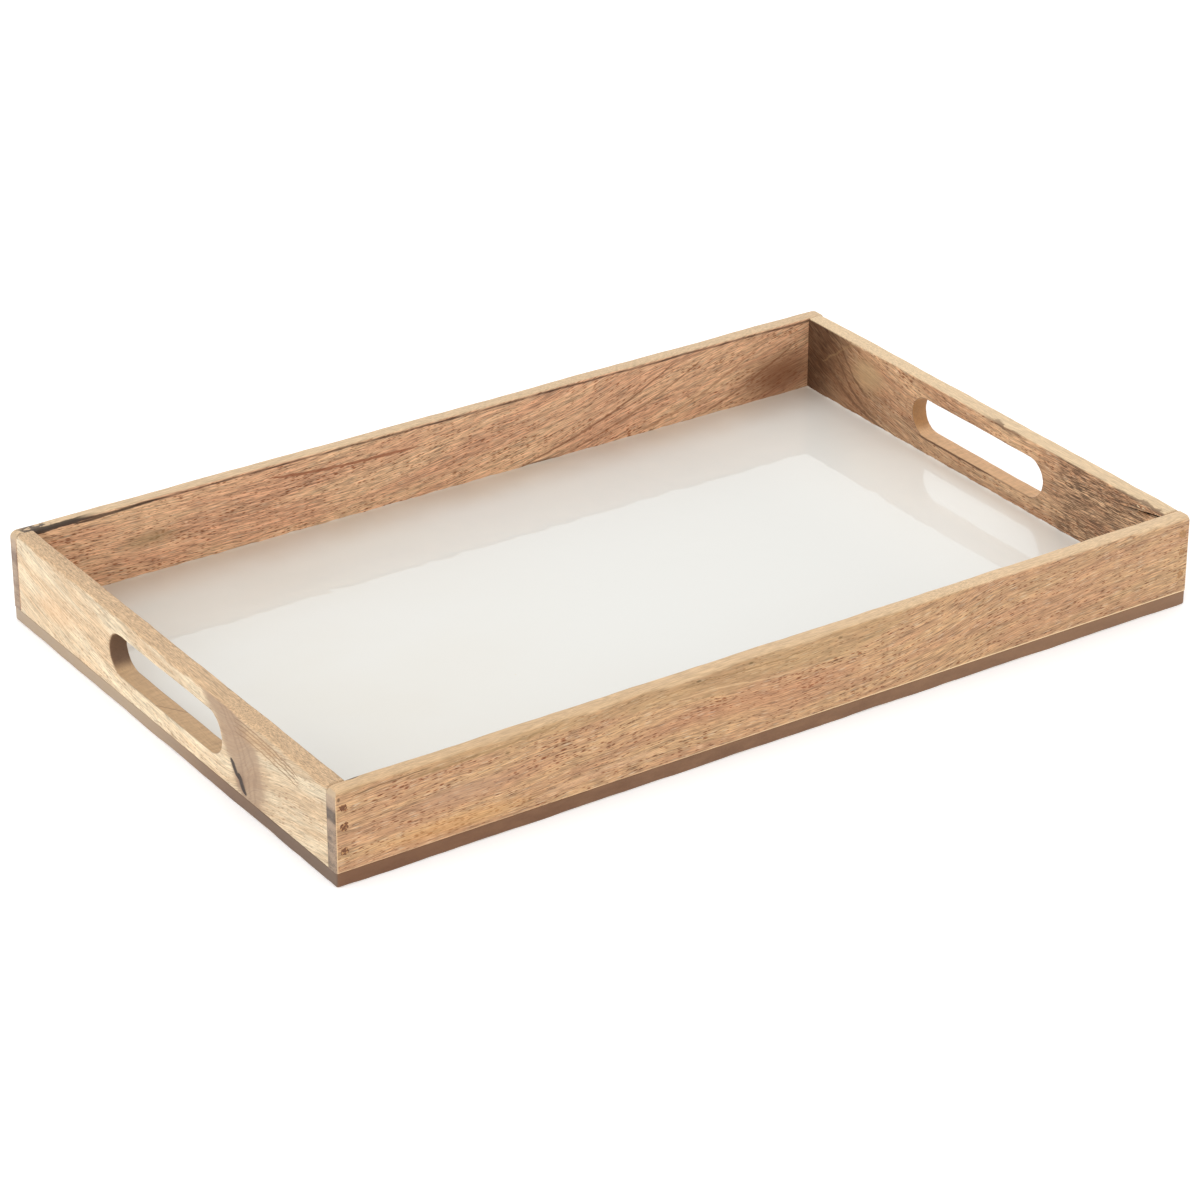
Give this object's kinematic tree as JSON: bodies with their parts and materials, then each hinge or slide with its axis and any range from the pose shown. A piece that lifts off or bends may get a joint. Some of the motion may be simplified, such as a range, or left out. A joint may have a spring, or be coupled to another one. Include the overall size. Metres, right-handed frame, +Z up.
{
  "type": "serving tray",
  "caption": "Shallow rectangular wooden serving tray with oblong hand slots in its end boards and a glossy enamelled floor on a flush base board.",
  "frame": {"origin": "middle of the footprint, on the surface that the tray stands on", "axes": "+X along the length, towards the right handle board; -Y towards the front board; +Z up, out of the tray"},
  "size_m": [0.4, 0.254, 0.04],
  "materials": {
    "frame_wood": "light straw-tan hardwood, fine open pores, matt lacquer",
    "base_board": "fibreboard, edge stained brown, satin",
    "floor_enamel": "high-gloss cream enamel, slightly rippled",
    "brad_steel": "bright steel",
    "brad_filler": "reddish-brown wood filler, matt"
  },
  "bodies": {
    "root": {"base_board": "base_board", "enamel_floor": "floor_enamel", "front_board": "frame_wood", "back_board": "frame_wood", "left_handle_board": "frame_wood", "right_handle_board": "frame_wood", "front_left_corner_brads": "brad_steel", "front_right_corner_brads": "brad_steel", "back_left_corner_brads": "brad_steel", "back_right_corner_brads": "brad_steel", "front_left_brad_filler": "brad_filler", "front_right_brad_filler": "brad_filler", "back_left_brad_filler": "brad_filler", "back_right_brad_filler": "brad_filler", "front_base_brads": "brad_steel", "back_base_brads": "brad_steel", "left_base_brads": "brad_steel", "right_base_brads": "brad_steel"}
  },
  "joints": []
}
